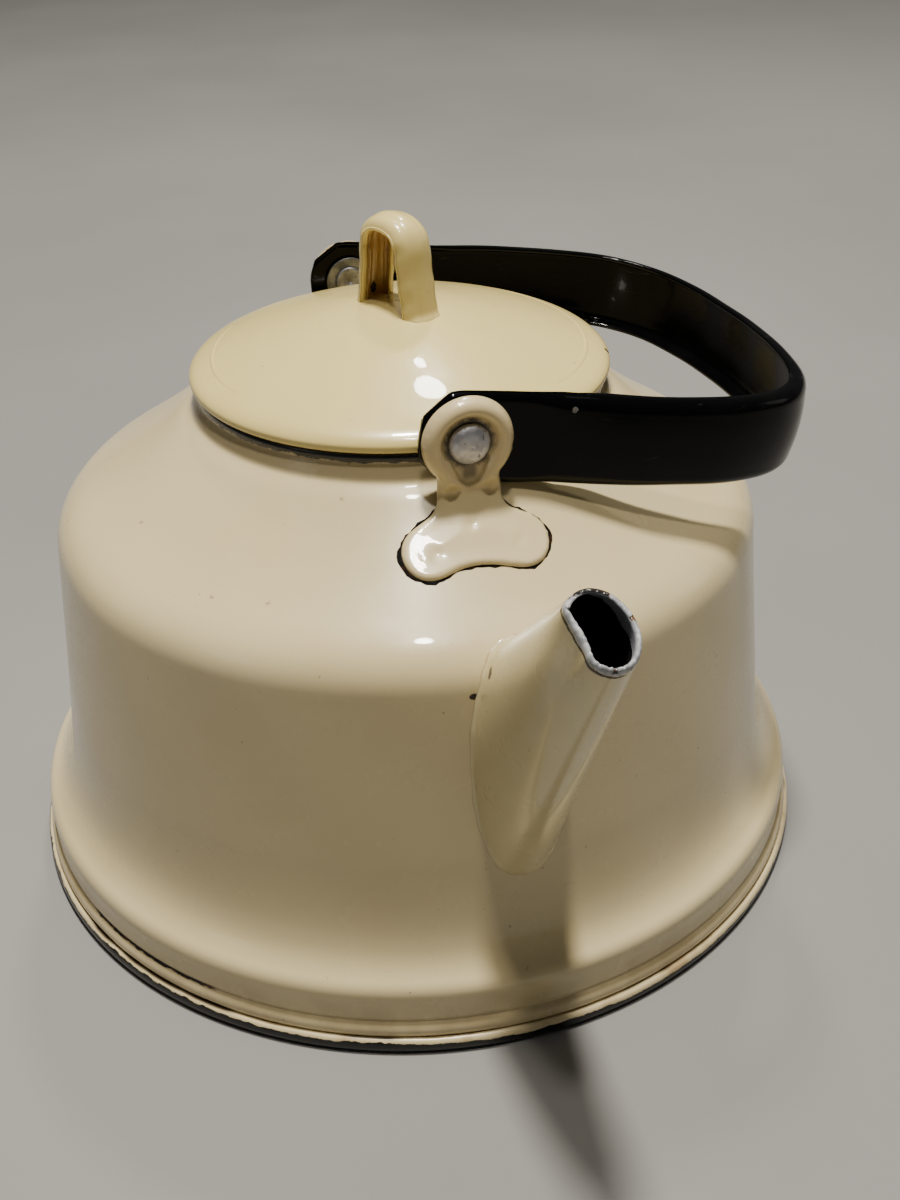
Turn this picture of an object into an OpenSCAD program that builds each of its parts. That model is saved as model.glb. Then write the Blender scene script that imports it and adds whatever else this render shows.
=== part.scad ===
// Enamelled stove kettle with a straight tapered spout, a lift-off lid and a folding strap handle.
// Units are millimetres. The kettle stands on z = 0, its axis is Z and its spout points along +X.
// The handle is folded down on the +Y side, where its edges come to rest beside the ears.

/* [Body] */
// Radius of the black bottom pan, the widest part of the kettle
base_r = 115; // [113:0.5:118]
// Radius of the wall where it leaves the bottom flare
wall_low_r = 101.4; // [100:0.2:103]
// Radius of the wall just under the rounded shoulder
wall_top_r = 96.8; // [95:0.2:98]
// Height at which the rounded shoulder starts
shoulder_z = 97; // [95:0.5:99]
// Thickness of the enamelled sheet
sheet = 1.2; // [0.8:0.1:1.6]

/* [Neck and lid] */
// Height of the lowest edge of the lid rim, which rests on the neck bead
lid_seat_z = 137.5; // [137:0.1:138]
// Outer radius of the lid rim
lid_r = 56; // [55:0.1:56.2]
// Height of the top of the lid under the knob
lid_top_z = 155.6; // [153:0.2:158]
// How deep the lid skirt reaches below the rim
skirt_depth = 10; // [6:0.5:14]
// Width of the lid knob strap
knob_w = 11; // [8:0.5:13]
// Height of the lid knob above the top of the lid
knob_h = 23; // [18:0.5:26]
// Turn of the knob arch away from the spout direction, in degrees
knob_turn = 24; // [0:1:60]

/* [Handle] */
// Height of the handle pivots
pivot_z = 142; // [142:0.2:144]
// Distance from the pivot axis to the outside of the handle's far end
handle_reach = 105; // [96:0.5:108]
// Half width of the handle at its widest
handle_half = 65.6; // [65:0.2:72]
// Width of the handle strap
strap_w = 23; // [20:0.5:23.4]
// Depth of the rolled long edges, measured from the outer face
lip_depth = 5; // [3:0.5:5.5]
// Angle of the folded handle below the horizontal, in degrees
fold_angle = 9; // [0:0.5:9.5]

/* [Spout] */
// Distance from the kettle axis to the middle of the mouth
mouth_x = 144.2; // [140:0.5:150]
// Height of the middle of the mouth
mouth_z = 141.2; // [136:0.5:144]
// Half length of the mouth, fore and aft
mouth_a = 9.8; // [8:0.2:12]
// Half width of the mouth
mouth_b = 6.9; // [5.5:0.1:9]
// Half width of the spout root
root_b = 12.4; // [12:0.2:17]

/* [Ears and rivets] */
// Outer radius of the round eyelet of each ear
ear_r = 11.2; // [9.5:0.1:11.4]
// Radius of the domed rivet head
rivet_head_r = 5; // [4:0.1:5.6]
// Radius of the rivet shank
shank_r = 2.5; // [2:0.1:3]

/* [Hidden] */
$fn = 96;
cream = [0.84, 0.79, 0.66];
lid_cream = [0.85, 0.79, 0.60];
black = [0.05, 0.05, 0.05];
aluminium = [0.68, 0.68, 0.70];
// Gap between faces of separate pieces that are welded, seamed or pressed together
seam = 0.05;

// Bottom pan and the foot of the body that its hem grips
pan_floor = 1.5;
hem_w = 1.9;
hem_top_z = 4.5;
foot_r = base_r - hem_w - seam;
bead_z = 6.6;
bead_bulge = 0.8;
band_low_z = 8.8;
band_top_z = 15.5;
flare_z = 28;
flare_top_z = 50;

// Neck and its rolled bead
dome_start = [87, 109];
dome_end = [60.8, 127.6];
neck_base = [56.2, 131.6];
neck_top = [54.4, 135.4];
bead_r = 1.5;
bead_centre = [neck_top[0] - bead_r + 0.3, lid_seat_z - bead_r - 0.1];

// Stack of pieces along each pivot, as distances from the kettle axis
tail_x = 56.9;
washer_x = 57.8;
washer_w = 1;
web_x = 58.9;
web = 1.7;
ear_x = 60.8;
ear_floor = 1.3;
tail_r = 4.2;
washer_r = 7;
hole_play = 0.08;

// Ear: the raised rim of the eyelet, its stem and its foot on the shoulder
rim_r = 2.2;
rim_lift = 1.2;
stem_half = 8.4;
foot_lobe_r = 8;
foot_lobe_x = 69.6;
foot_lobe_y = 10.4;
foot_front_x = 74.6;
foot_lift = 1.4;

// Spout
spout_sheet = 1.3;
root_x = 92;
root_low_z = 26;
root_high_z = 106;
mouth_tilt = 21.4;
passage_r = 9;
passage_low_z = 66;
passage_high_z = 84;

// Lid and knob
lid_sheet = 1.1;
hem_r = 1.3;
skirt_r = 50.4;
skirt_w = 1;
knob_sheet = 2.2;
knob_foot = 12.5;
knob_top = 10.4;

// Points along a cubic Bezier curve, without its first point
function bezier(a, b, c, d, n) =
    [for (i = [1:n]) let (t = i / n, u = 1 - t)
        u * u * u * a + 3 * u * u * t * b + 3 * u * t * t * c + t * t * t * d];
// Unit normal to the left of a path at point i
function path_normal(p, i) =
    let (a = p[max(i - 1, 0)], b = p[min(i + 1, len(p) - 1)], d = (b - a) / norm(b - a))
    [-d[1], d[0]];
// A path moved sideways to its left
function beside(p, gap) = [for (i = [0:len(p) - 1]) p[i] + gap * path_normal(p, i)];
function reversed(p) = [for (i = [len(p) - 1:-1:0]) p[i]];
function lifted(p, dz) = [for (q = p) [q[0], q[1] + dz]];

// Outline of the body from its foot up to the shoulder, as [radius, height]
foot_path = concat(
    [[foot_r, pan_floor], [foot_r, hem_top_z]],
    bezier([foot_r, hem_top_z], [foot_r + bead_bulge, hem_top_z + 0.8],
           [foot_r + bead_bulge, band_low_z - 0.8], [foot_r - 0.9, band_low_z], 6),
    [[foot_r - 0.7, band_low_z + 1.2], [foot_r - 0.7, band_top_z]],
    bezier([foot_r - 0.7, band_top_z], [foot_r - 0.7, band_top_z + 5],
           [wall_low_r + 6.4, band_top_z + 6.5], [wall_low_r + 3.6, flare_z], 8),
    bezier([wall_low_r + 3.6, flare_z], [wall_low_r + 1.6, flare_z + 5],
           [wall_low_r + 0.6, flare_top_z - 8], [wall_low_r, flare_top_z], 6));
// Outline of the rounded shoulder and the sloping dome above it
dome_path = concat(
    bezier([wall_top_r, shoulder_z], [wall_top_r - 0.6, shoulder_z + 6.5],
           dome_start + [4, -2.5], dome_start, 8),
    bezier(dome_start, [78, 114.3], [68, 121.6], dome_end, 8));
neck_path = concat(
    bezier(dome_end, dome_end + [-2.6, 2.2], neck_base + [0.4, -1.4], neck_base, 4),
    [neck_top]);
body_path = concat(foot_path, [[wall_top_r, shoulder_z]], dome_path, neck_path);

// Outer surface of the lid from its rim to its top
lid_edge = [lid_r - 0.4, lid_seat_z + 2.4];
lid_path = concat(
    [[lid_r, lid_seat_z + hem_r], lid_edge],
    bezier(lid_edge, [lid_r - 7, lid_seat_z + 6.2], [lid_r - 30, lid_top_z - 4.4], [0, lid_top_z], 16));

// Outer face of one half of the handle, from its rounded end to the middle of the far bar
web_out = web_x + web;
strap_half = strap_w / 2;
half_path = concat(
    [[web_out, -strap_half], [web_out, 0], [web_out, 9]],
    bezier([web_out, 9], [web_out, 22], [handle_half, 34], [handle_half, 54], 10),
    bezier([handle_half, 54], [handle_half, 88], [52, handle_reach], [0, handle_reach], 16));
bow_path = concat(half_path, [for (i = [len(half_path) - 2:-1:0]) [-half_path[i][0], half_path[i][1]]]);
// The rolled edges grow to full depth clear of the shoulder beside the ears
lip_start = 12;
lip_full = 34;
function lip_at(s) =
    let (t = min(max((s - lip_start) / (lip_full - lip_start), 0), 1))
    web + (lip_depth - web) * t * t * (3 - 2 * t);
lip_path = [for (i = [0:len(bow_path) - 1]) bow_path[i] + lip_at(bow_path[i][1]) * path_normal(bow_path, i)];

module ring_of(points) {
    rotate_extrude() polygon(points);
}

// Turns a shape built along +Z so that it points along +X
module along_x(x, z) {
    translate([x, 0, z]) rotate([0, 90, 0]) children();
}

// Everything inside the body's outer surface, grown by a small gap
module body_solid(gap) {
    ring_of(concat([[0, pan_floor]], beside(body_path, -gap), [[0, neck_top[1]]]));
}

module passage() {
    for (z = [passage_low_z, passage_high_z]) {
        along_x(root_x - 6, z) cylinder(r = passage_r, h = 20);
    }
    translate([root_x - 6, -passage_r, passage_low_z])
        cube([20, 2 * passage_r, passage_high_z - passage_low_z]);
}

module body_shell() {
    color(cream) difference() {
        rotate_extrude() union() {
            polygon(concat(body_path, reversed(beside(body_path, sheet))));
            translate(bead_centre) circle(r = bead_r, $fn = 32);
        }
        passage();
    }
}

module bottom_pan() {
    hem_in = base_r - hem_w;
    edge = concat(
        bezier([base_r - 2, 0], [base_r - 0.8, 0], [base_r, 0.8], [base_r, 2], 4),
        bezier([base_r, hem_top_z - 1.2], [base_r, hem_top_z - 0.4],
               [base_r - 0.4, hem_top_z - 0.1], [base_r - 1, hem_top_z - 0.1], 4));
    color(black) ring_of(concat(
        [[0, 0], [base_r - 2, 0]], edge,
        [[hem_in, hem_top_z - 0.1], [hem_in, pan_floor - seam], [0, pan_floor - seam]]));
}

// Thin slice across the spout at its mouth, drawn in by the sheet thickness
module mouth_slice(inset, over) {
    translate([mouth_x, 0, mouth_z]) rotate([0, mouth_tilt, 0]) translate([0, 0, over])
        scale([1, (mouth_b - inset) / (mouth_a - inset), 1])
            cylinder(r = mouth_a - inset, h = 0.02, $fn = 32);
}

module root_slice(inset) {
    half = (root_high_z - root_low_z) / 2;
    along_x(root_x, root_low_z + half) scale([1, (root_b - inset) / (half - inset), 1])
        cylinder(r = half - inset, h = 0.02, $fn = 32);
}

module spout() {
    color(cream) difference() {
        hull() {
            root_slice(0);
            mouth_slice(0, 0);
        }
        hull() {
            root_slice(spout_sheet);
            mouth_slice(spout_sheet, 0.1);
        }
        body_solid(seam);
    }
}

module ear_foot() {
    band = concat([for (i = [7:15]) dome_path[i]], neck_path);
    intersection() {
        ring_of(concat(lifted(band, seam * 2), reversed(lifted(band, foot_lift))));
        translate([0, 0, shoulder_z]) linear_extrude(40) union() {
            for (side = [-1, 1]) {
                translate([foot_lobe_x, side * foot_lobe_y]) circle(r = foot_lobe_r);
            }
            translate([ear_x, -foot_lobe_y]) square([foot_front_x - ear_x, 2 * foot_lobe_y]);
        }
    }
}

module ear() {
    teardrop = [[-4.6, -4.4], [4.6, -4.4], [0.9, -10], [-0.9, -10]];
    color(cream) difference() {
        union() {
            intersection() {
                along_x(ear_x, pivot_z) union() {
                    cylinder(r = ear_r - rim_r, h = ear_floor);
                    rotate_extrude() translate([ear_r - rim_r, rim_lift]) circle(r = rim_r, $fn = 32);
                }
                translate([ear_x, -ear_r, pivot_z - ear_r]) cube([10, 2 * ear_r, 2 * ear_r]);
            }
            translate([ear_x, -stem_half, dome_end[1] - 2])
                cube([ear_floor, 2 * stem_half, pivot_z - ear_r + 3 - dome_end[1] + 2]);
            ear_foot();
        }
        body_solid(seam * 2);
        along_x(ear_x - 1, pivot_z) cylinder(r = shank_r + hole_play / 2, h = 4);
        translate([ear_x + ear_floor, 0, pivot_z]) rotate([90, 0, 90]) linear_extrude(5) polygon(teardrop);
    }
}

// Rivet turned about its axis: peened tail, shank and domed head
module rivet() {
    head_x = ear_x + ear_floor + seam;
    head_h = 2.8;
    head_ball = (rivet_head_r * rivet_head_r + head_h * head_h) / (2 * head_h);
    head_span = asin(rivet_head_r / head_ball);
    dome = [for (i = [0:8]) let (a = head_span * (1 - i / 8))
        [head_ball * sin(a), head_x - tail_x + head_h - head_ball * (1 - cos(a))]];
    color(aluminium) along_x(tail_x, pivot_z) rotate_extrude() polygon(concat(
        [[0, 0], [tail_r - 0.4, 0], [tail_r, 0.4], [tail_r, washer_x - tail_x - seam],
         [shank_r, washer_x - tail_x - seam], [shank_r, head_x - tail_x]],
        dome));
}

module washer() {
    color(aluminium) along_x(washer_x, pivot_z) difference() {
        cylinder(r = washer_r, h = washer_w);
        translate([0, 0, -1]) cylinder(r = shank_r + hole_play / 2, h = washer_w + 2);
    }
}

module front_ear() {
    ear();
}

module rear_ear() {
    rotate([0, 0, 180]) ear();
}

module front_rivet() {
    rivet();
}

module rear_rivet() {
    rotate([0, 0, 180]) rivet();
}

module front_washer() {
    washer();
}

module rear_washer() {
    rotate([0, 0, 180]) washer();
}

module lid_shell() {
    inside = beside([for (i = [1:len(lid_path) - 1]) lid_path[i]], lid_sheet);
    apex = [[0, lid_top_z - lid_sheet]];
    color(lid_cream) rotate_extrude() union() {
        polygon(concat(lid_path, apex, [for (i = [len(inside) - 2:-1:0]) inside[i]]));
        translate([lid_r - hem_r, lid_seat_z + hem_r]) circle(r = hem_r, $fn = 32);
    }
}

module lid_skirt() {
    under = beside([for (i = [1:len(lid_path) - 1]) lid_path[i]], lid_sheet + seam);
    color(lid_cream) rotate_extrude() intersection() {
        translate([skirt_r - skirt_w, lid_seat_z - skirt_depth]) square([skirt_w, skirt_depth + 8]);
        polygon(concat(
            [[0, 0], [under[0][0], 0]],
            [for (i = [0:len(under) - 2]) under[i]],
            [[0, lid_top_z - lid_sheet - seam]]));
    }
}

// Outer line of the knob arch, in the plane of the arch, as [distance from the middle, height]
function knob_line() =
    let (low = lid_top_z - 6, high = lid_top_z + knob_h,
         rise = bezier([knob_foot, low], [knob_foot - 0.6, low + 8], [knob_top + 0.5, high - 16],
                       [knob_top, high - 9], 6),
         turn = bezier([knob_top, high - 9], [knob_top - 0.6, high - 2.5], [5.5, high], [0, high], 8),
         side = concat([[knob_foot, low]], rise, turn))
    concat(side, [for (i = [len(side) - 2:-1:0]) [-side[i][0], side[i][1]]]);

module lid_knob() {
    outer = knob_line();
    color(lid_cream) difference() {
        rotate([0, 0, knob_turn]) rotate([90, 0, 0]) translate([0, 0, -knob_w / 2]) linear_extrude(knob_w)
            polygon(concat(outer, reversed(beside(outer, knob_sheet))));
        ring_of(concat([[0, 0], [lid_r, 0]], beside(lid_path, -seam), [[0, lid_top_z + seam]]));
    }
}

module handle() {
    far = handle_reach + 10;
    color(black) translate([0, 0, pivot_z]) rotate([-fold_angle, 0, 0]) difference() {
        intersection() {
            union() {
                translate([0, 0, -strap_half]) linear_extrude(strap_w)
                    polygon(concat(bow_path, reversed(beside(bow_path, web))));
                for (z = [-strap_half, strap_half - web]) {
                    translate([0, 0, z]) linear_extrude(web) polygon(concat(bow_path, reversed(lip_path)));
                }
            }
            union() {
                translate([-far, 0, -strap_half]) cube([2 * far, far, strap_w]);
                translate([-far, 0, 0]) rotate([0, 90, 0]) cylinder(r = strap_half, h = 2 * far);
            }
        }
        translate([-far, 0, 0]) rotate([0, 90, 0]) cylinder(r = shank_r + hole_play, h = 2 * far);
    }
}

body_shell();
bottom_pan();
spout();
front_ear();
rear_ear();
front_rivet();
rear_rivet();
front_washer();
rear_washer();
lid_shell();
lid_skirt();
lid_knob();
handle();
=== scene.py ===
"""Enamelled stove kettle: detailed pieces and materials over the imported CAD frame."""
import math

import bmesh
import bpy
import numpy as np
from mathutils import Matrix, Vector, geometry


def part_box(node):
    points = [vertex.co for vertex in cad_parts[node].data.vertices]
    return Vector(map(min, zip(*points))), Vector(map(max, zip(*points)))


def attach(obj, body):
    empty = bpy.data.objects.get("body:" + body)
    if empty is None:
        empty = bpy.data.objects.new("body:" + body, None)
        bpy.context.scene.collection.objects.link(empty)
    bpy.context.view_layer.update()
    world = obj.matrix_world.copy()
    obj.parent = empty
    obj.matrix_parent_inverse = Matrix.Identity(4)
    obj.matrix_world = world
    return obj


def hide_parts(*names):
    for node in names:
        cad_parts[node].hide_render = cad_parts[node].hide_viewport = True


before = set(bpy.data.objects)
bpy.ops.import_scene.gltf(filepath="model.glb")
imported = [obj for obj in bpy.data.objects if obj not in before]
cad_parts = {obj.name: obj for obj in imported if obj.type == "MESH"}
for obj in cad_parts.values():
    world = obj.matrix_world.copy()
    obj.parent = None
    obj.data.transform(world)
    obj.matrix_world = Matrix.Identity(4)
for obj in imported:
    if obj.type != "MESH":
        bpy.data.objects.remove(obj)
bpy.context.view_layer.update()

# ---------------- sizes, in millimetres, and angles
MM = 0.001
BASE_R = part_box("bottom_pan")[1].x / MM
LID_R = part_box("lid_shell")[1].x / MM
LID_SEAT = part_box("lid_shell")[0].z / MM
LID_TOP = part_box("lid_shell")[1].z / MM
KNOB_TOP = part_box("lid_knob")[1].z / MM
PIVOT_Z = sum(v.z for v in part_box("front_washer")) / 2 / MM
WASHER_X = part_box("front_washer")[0].x / MM
EAR_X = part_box("front_ear")[0].x / MM

AXIS_R = 0.01
SHEET = 1.2
PAN_FLOOR = 1.5
HEM_TOP = 4.5
FOOT_R = BASE_R - 1.95
BAND_LOW = 8.8
BAND_TOP = 15.5
FLARE_Z = 28.0
FLARE_TOP = 50.0
WALL_LOW_R = 101.4
WALL_TOP_R = 96.8
SHOULDER_Z = 97.0
DOME_START = (87.0, 109.0)
DOME_END = (60.8, 127.6)
NECK_BASE = (56.2, 131.6)
NECK_TOP = (54.4, 135.4)
BEAD_R = 1.5
OUTLET_R = 9.0
OUTLET_Z = 75.0
OUTLET_SPAN = (86.0, 106.0)
ROOT_X = 92.0
ROOT_Z = 66.0
ROOT_HALF = (40.0, 12.4)  # half the height, half the width
MOUTH = np.array([144.2, 0.0, 141.2])
MOUTH_HALF = (9.8, 6.9)
MOUTH_TILT = math.radians(21.4)
SPOUT_SHEET = 1.3
EAR_SHEET = 1.3
EAR_GRID = 0.62
LID_SHEET = 1.1
LID_HEM_R = 1.3
RING_R = 50.4
KNOB_HALF = 5.5
KNOB_TURN = math.radians(24.0)
STRAP_HALF = 11.5
STRAP_SHEET = 1.35
HANDLE_REACH = 105.0
HANDLE_HALF = 65.6
WEB_OUT = 60.6
BORE_R = 2.65
FOLD = math.radians(9.0)
CUT_SIDES = 48


# ---------------- curves and meshes
def bezier(a, b, c, d, n):
    """Points along a cubic curve, without its first point."""
    t = np.linspace(0, 1, n + 1)[1:, None]
    a, b, c, d = (np.array(p, float) for p in (a, b, c, d))
    return (1 - t) ** 3 * a + 3 * (1 - t) ** 2 * t * b + 3 * (1 - t) * t ** 2 * c + t ** 3 * d


def arc(centre, radius, start, end, n):
    """Points along an arc in degrees, with both ends."""
    a = np.radians(np.linspace(start, end, n))
    return np.array(centre) + radius * np.stack([np.cos(a), np.sin(a)], -1)


def unit(vectors):
    """Rows scaled to length 1."""
    return vectors / np.linalg.norm(vectors, axis=1, keepdims=True)


def normals_2d(path):
    """Unit normals to the left of a path."""
    d = unit(np.gradient(path, axis=0))
    return np.stack([-d[:, 1], d[:, 0]], -1)


def step(low, high, x):
    """Smooth step from 0 at low to 1 at high."""
    t = np.clip((x - low) / (high - low), 0, 1)
    return t * t * (3 - 2 * t)


def hump(x, middle, width):
    """Smooth hump of height 1."""
    return np.exp(-((x - middle) / width) ** 2)


def grid_faces(rows, cols, close_rows=False):
    """Quads of a grid of points numbered row by row, closed round each row."""
    i, j = np.meshgrid(np.arange(rows if close_rows else rows - 1), np.arange(cols), indexing="ij")
    i2, j2 = (i + 1) % rows, (j + 1) % cols
    quads = np.stack([i * cols + j, i * cols + j2, i2 * cols + j2, i2 * cols + j], -1)
    return quads.reshape(-1, 4).tolist()


def end_faces(rows, cols):
    """The two faces that close the ends of such a grid."""
    last = (rows - 1) * cols
    return [list(range(cols))[::-1], list(range(last, last + cols))]


def rotated(points, angle, i, j):
    """Points turned by an angle from axis i towards axis j."""
    whole = points.copy()
    whole[:, i] = math.cos(angle) * points[:, i] - math.sin(angle) * points[:, j]
    whole[:, j] = math.sin(angle) * points[:, i] + math.cos(angle) * points[:, j]
    return whole


def piece(name, points, faces, body, materials, node, zone=None, weld=True):
    """Makes a smooth-shaded mesh from points in millimetres, rides it on a body and replaces a CAD node."""
    mesh = bpy.data.meshes.new(name)
    mesh.from_pydata((points * MM).tolist(), [], faces)
    for material in materials:
        mesh.materials.append(material)
    if zone is not None:
        mesh.polygons.foreach_set("material_index", np.asarray(zone, dtype=np.int32))
    bm = bmesh.new()
    bm.from_mesh(mesh)
    if weld:
        bmesh.ops.remove_doubles(bm, verts=bm.verts, dist=2e-6)
        bmesh.ops.dissolve_degenerate(bm, edges=bm.edges, dist=1e-7)
    bmesh.ops.recalc_face_normals(bm, faces=bm.faces)
    for face in bm.faces:
        face.smooth = True
    bm.to_mesh(mesh)
    bm.free()
    obj = bpy.data.objects.new(name, mesh)
    bpy.context.collection.objects.link(obj)
    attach(obj, body)
    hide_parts(node)
    return obj


def lathe(profile, segments, move=None):
    """Points and faces of a closed profile of (radius, height) turned about Z. Rows are profile points."""
    angle = np.linspace(0, 2 * math.pi, segments, endpoint=False)
    a, r = np.meshgrid(angle, profile[:, 0])
    z = np.meshgrid(angle, profile[:, 1])[1]
    if move is not None:
        r, z = move(r, z, a)
    points = np.stack([r * np.cos(a), r * np.sin(a), z], -1).reshape(-1, 3)
    return points, grid_faces(len(profile), segments, True)


def turned(points, x, z, sign):
    """Moves a lathe made about Z so that its axis points along +X, or -X, at a height."""
    return np.stack([sign * (points[:, 2] + x), sign * points[:, 1], -points[:, 0] + z], -1)


def hole_outline(radius, z, straight=0.0):
    """Round or oblong outline as (y, z); straight is half the length of an oblong hole's sides."""
    ring = []
    for i in range(CUT_SIDES):
        a = 2 * math.pi * i / CUT_SIDES
        ring.append((radius * math.cos(a), z + radius * math.sin(a) + math.copysign(straight, math.sin(a))))
    return ring


def cut_hole(obj, name, span, outline):
    """Cuts a straight hole along X out of a piece. The span is in X, and both are in millimetres."""
    sides = len(outline)
    points = np.array([(x, y, z) for x in span for y, z in outline])
    faces = [[i, (i + 1) % sides, sides + (i + 1) % sides, sides + i] for i in range(sides)]
    cut_mesh = bpy.data.meshes.new(name)
    cut_mesh.from_pydata((points * MM).tolist(), [], faces + end_faces(2, sides))
    cutter = bpy.data.objects.new(name, cut_mesh)
    bpy.context.collection.objects.link(cutter)
    cut = obj.modifiers.new(name, "BOOLEAN")
    cut.operation = "DIFFERENCE"
    cut.solver = "EXACT"
    cut.object = cutter
    whole = bpy.data.meshes.new_from_object(obj.evaluated_get(bpy.context.evaluated_depsgraph_get()))
    obj.modifiers.remove(cut)
    obj.data = whole
    bpy.data.objects.remove(cutter)
    bpy.data.meshes.remove(cut_mesh)


def channel_section(half, lip, crown, thick):
    """Closed outline of a pressed channel, as (across, inward). half is half the strap, lip its depth."""
    corner = min(3.4, half * 0.6, max(lip, thick + 0.2))
    flat_half = half - corner
    edge = (lip + corner) / 2 - thick / 4
    web = np.linspace(-flat_half, flat_half, 17)
    a = np.radians(np.linspace(180, 90, 8))
    left = np.stack([-flat_half + corner * np.cos(a), corner - corner * np.sin(a)], -1)
    outer = np.concatenate([
        [[-half, lip - thick / 2], [-half, edge]], left,
        np.stack([web, -crown * (1 - (web / max(flat_half, 0.1)) ** 2)], -1)[1:-1],
        (left * [-1, 1])[::-1], [[half, edge], [half, lip - thick / 2]]])
    inner = outer + thick * normals_2d(outer)
    room = max(half - thick, 0.05)
    inner[:, 0] = np.clip(inner[:, 0], -room, room)
    cap = half + np.array([[-thick * 0.12, 0], [-thick / 2, 0], [-thick * 0.88, 0]])
    cap[:, 1] = (lip - 0.15, lip, lip - 0.15)
    return np.concatenate([outer, cap, inner[::-1], (cap * [-1, 1])[::-1]])


INNER_FROM = 38  # first point of a channel section on its inner face


# ---------------- body surface
def body_outline():
    rim = FOOT_R - 0.7
    return np.concatenate([
        [[FOOT_R, PAN_FLOOR], [FOOT_R, 3.0], [FOOT_R, HEM_TOP]],
        bezier((FOOT_R, HEM_TOP), (FOOT_R + 0.9, HEM_TOP + 0.8),
               (FOOT_R + 0.9, BAND_LOW - 0.8), (FOOT_R - 0.9, BAND_LOW), 12),
        bezier((FOOT_R - 0.9, BAND_LOW), (FOOT_R - 1.2, BAND_LOW + 0.4),
               (rim, BAND_LOW + 0.7), (rim, BAND_LOW + 1.4), 5),
        bezier((rim, BAND_LOW + 1.4), (rim - 0.25, BAND_LOW + 3),
               (rim - 0.25, BAND_TOP - 2), (rim, BAND_TOP), 6),
        bezier((rim, BAND_TOP), (rim + 0.15, BAND_TOP + 2.7),
               (rim - 0.4, BAND_TOP + 3.9), (rim - 2.2, BAND_TOP + 5.2), 14),
        bezier((rim - 2.2, BAND_TOP + 5.2), (rim - 4.6, BAND_TOP + 7.0),
               (WALL_LOW_R + 4.7, FLARE_Z - 3), (WALL_LOW_R + 3.6, FLARE_Z), 14),
        bezier((WALL_LOW_R + 3.6, FLARE_Z), (WALL_LOW_R + 1.6, FLARE_Z + 5),
               (WALL_LOW_R + 0.6, FLARE_TOP - 8), (WALL_LOW_R, FLARE_TOP), 14),
        bezier((WALL_LOW_R, FLARE_TOP), (WALL_LOW_R - 1.5, FLARE_TOP + 15),
               (WALL_TOP_R + 1.5, SHOULDER_Z - 15), (WALL_TOP_R, SHOULDER_Z), 24),
        bezier((WALL_TOP_R, SHOULDER_Z), (WALL_TOP_R - 0.6, SHOULDER_Z + 6.5),
               (DOME_START[0] + 4, DOME_START[1] - 2.5), DOME_START, 16),
        bezier(DOME_START, (78, 114.3), (68, 121.6), DOME_END, 20),
        bezier(DOME_END, (DOME_END[0] - 2.6, DOME_END[1] + 2.2),
               (NECK_BASE[0] + 0.4, NECK_BASE[1] - 1.4), NECK_BASE, 8),
        bezier(NECK_BASE, (NECK_BASE[0] - 0.5, NECK_BASE[1] + 1.5),
               (NECK_TOP[0] + 0.2, NECK_TOP[1] - 1.5), NECK_TOP, 5)])


OUTLINE = body_outline()


def waver(z, angle):
    """Slight unevenness of the hand-finished body, fading out at the base and the neck."""
    fade = step(8, 30, z) * (1 - step(112, 126, z))
    return fade * (0.30 * np.sin(2 * angle + 0.7) + 0.16 * np.sin(3 * angle + z * 0.02)
                   + 0.10 * np.sin(7 * angle - z * 0.045) + 0.07 * np.sin(13 * angle + z * 0.11))


def body_r(z, angle):
    """Outer radius of the body at a height and an angle."""
    return np.interp(z, OUTLINE[:, 1], OUTLINE[:, 0]) + waver(z, angle)


def make_body(cream, inside):
    segments = 320
    bead = arc((NECK_TOP[0] - BEAD_R + 0.3, LID_SEAT - BEAD_R - 0.1), BEAD_R, -15, 205, 14)
    # The bead takes the place of the two highest points of the inner face
    inner = (OUTLINE + SHEET * normals_2d(OUTLINE))[::-1][2:]
    profile = np.concatenate([OUTLINE, bead, inner])
    points, faces = lathe(profile, segments, lambda r, z, a: (r + waver(z, a), z))
    first_inner = len(OUTLINE) + len(bead) - 2
    zone = [1 if first_inner <= i // segments < len(profile) - 1 else 0 for i in range(len(faces))]
    obj = piece("kettle_body", points, faces, "kettle", [cream, inside], "body_shell", zone)
    # The oblong outlet in the wall behind the spout
    cut_hole(obj, "outlet_cutter", OUTLET_SPAN, hole_outline(OUTLET_R, OUTLET_Z, OUTLET_R))


def make_pan(material):
    r = BASE_R
    floor_z = PAN_FLOOR - 0.05
    profile = np.concatenate([
        [[AXIS_R, 0], [r - 30, 0], [r - 4, 0], [r - 2, 0]],
        bezier((r - 2, 0), (r - 0.8, 0), (r, 0.8), (r, 2.0), 6),
        bezier((r, 2.0), (r, 3.2), (r - 0.1, HEM_TOP - 0.9), (r - 0.5, HEM_TOP - 0.35), 6),
        bezier((r - 0.5, HEM_TOP - 0.35), (r - 0.9, HEM_TOP + 0.1),
               (r - 1.5, HEM_TOP), (r - 1.9, HEM_TOP - 0.1), 5),
        [[r - 1.9, floor_z], [r - 8, floor_z], [AXIS_R, floor_z]]])

    def move(rad, z, a):
        """Small bites out of the top of the hem."""
        high = step(2.4, 4.4, z) * step(r - 3.5, r - 1.5, rad)
        bite = np.clip(np.sin(17 * a) + np.sin(29 * a + 1) + np.sin(53 * a + 2), 0, 3) * 0.07
        return rad, z - high * bite
    points, faces = lathe(profile, 320, move)
    piece("kettle_bottom_pan", points, faces, "kettle", [material], "bottom_pan")


# ---------------- spout
LIP_FROM = 0.992  # where the lip starts to turn over
SPOUT_STEP = 0.02


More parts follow.
